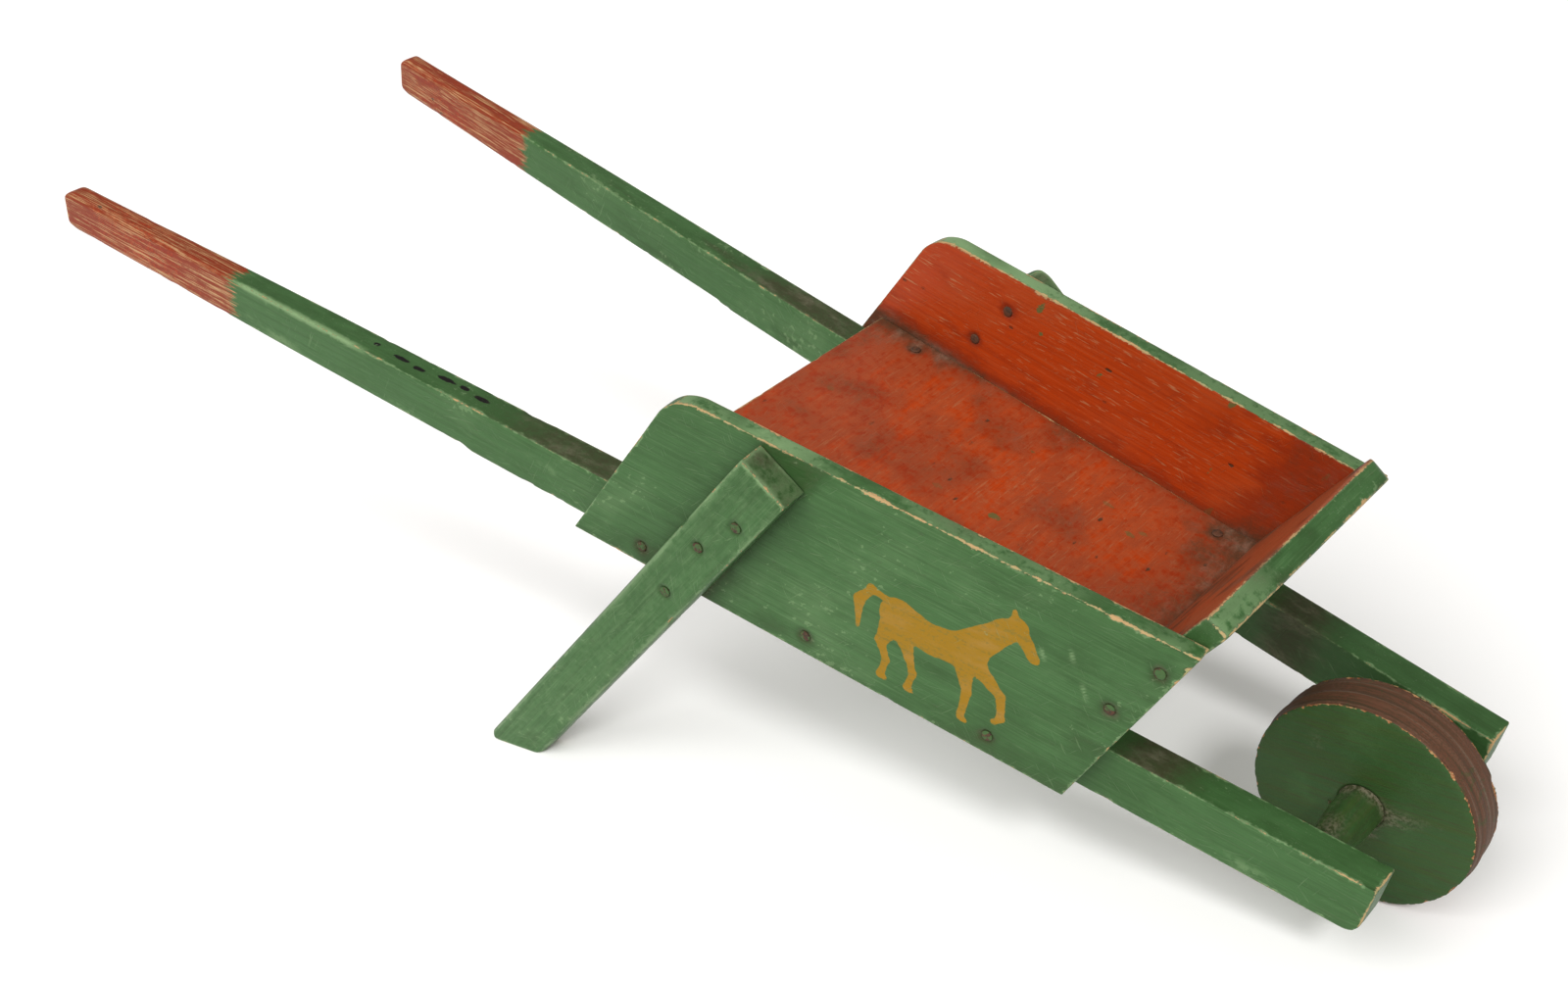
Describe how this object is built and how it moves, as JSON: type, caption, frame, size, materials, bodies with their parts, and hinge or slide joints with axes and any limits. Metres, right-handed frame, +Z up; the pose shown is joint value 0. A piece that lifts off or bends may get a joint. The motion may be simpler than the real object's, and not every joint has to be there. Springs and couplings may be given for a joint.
{
  "type": "wheelbarrow",
  "caption": "Child's wooden wheelbarrow: spreading shafts, open-backed tray with a leaning front board, raked legs and a solid disc wheel on a wooden axle",
  "frame": {"origin": "on the ground, under the middle of the overall length and width", "axes": "+X forward towards the wheel, +Y to the left side, +Z up; the barrow stands on its wheel and two feet"},
  "size_m": [0.986, 0.3304, 0.3625],
  "materials": {
    "green_wood": "worn green paint over softwood, chipped to bare wood along the edges, red on the grips",
    "red_wood": "worn orange-red paint over softwood, scratched and grimy",
    "wheel_wood": "green paint on the faces, bare brown wood on the tread",
    "nail_iron": "dull rusted iron"
  },
  "bodies": {
    "frame": {"right_shaft": "green_wood", "left_shaft": "green_wood", "floor_board": "red_wood", "right_side_board": "green_wood", "left_side_board": "green_wood", "front_board": "green_wood", "right_leg": "green_wood", "left_leg": "green_wood", "right_side_board_nails": "nail_iron", "left_side_board_nails": "nail_iron", "right_front_board_nails": "nail_iron", "left_front_board_nails": "nail_iron", "right_leg_nails": "nail_iron", "left_leg_nails": "nail_iron", "right_leg_inner_nails": "nail_iron", "left_leg_inner_nails": "nail_iron", "right_floor_nails": "nail_iron", "left_floor_nails": "nail_iron"},
    "wheel_set": {"wheel": "wheel_wood", "axle": "green_wood", "wheel_toe_nails": "nail_iron"}
  },
  "joints": [
    {"name": "wheel_spin", "type": "hinge", "parent": "frame", "child": "wheel_set", "pos_m": [0.42849, 0, 0.0645], "axis": [0, 1, 0], "continuous": true}
  ]
}
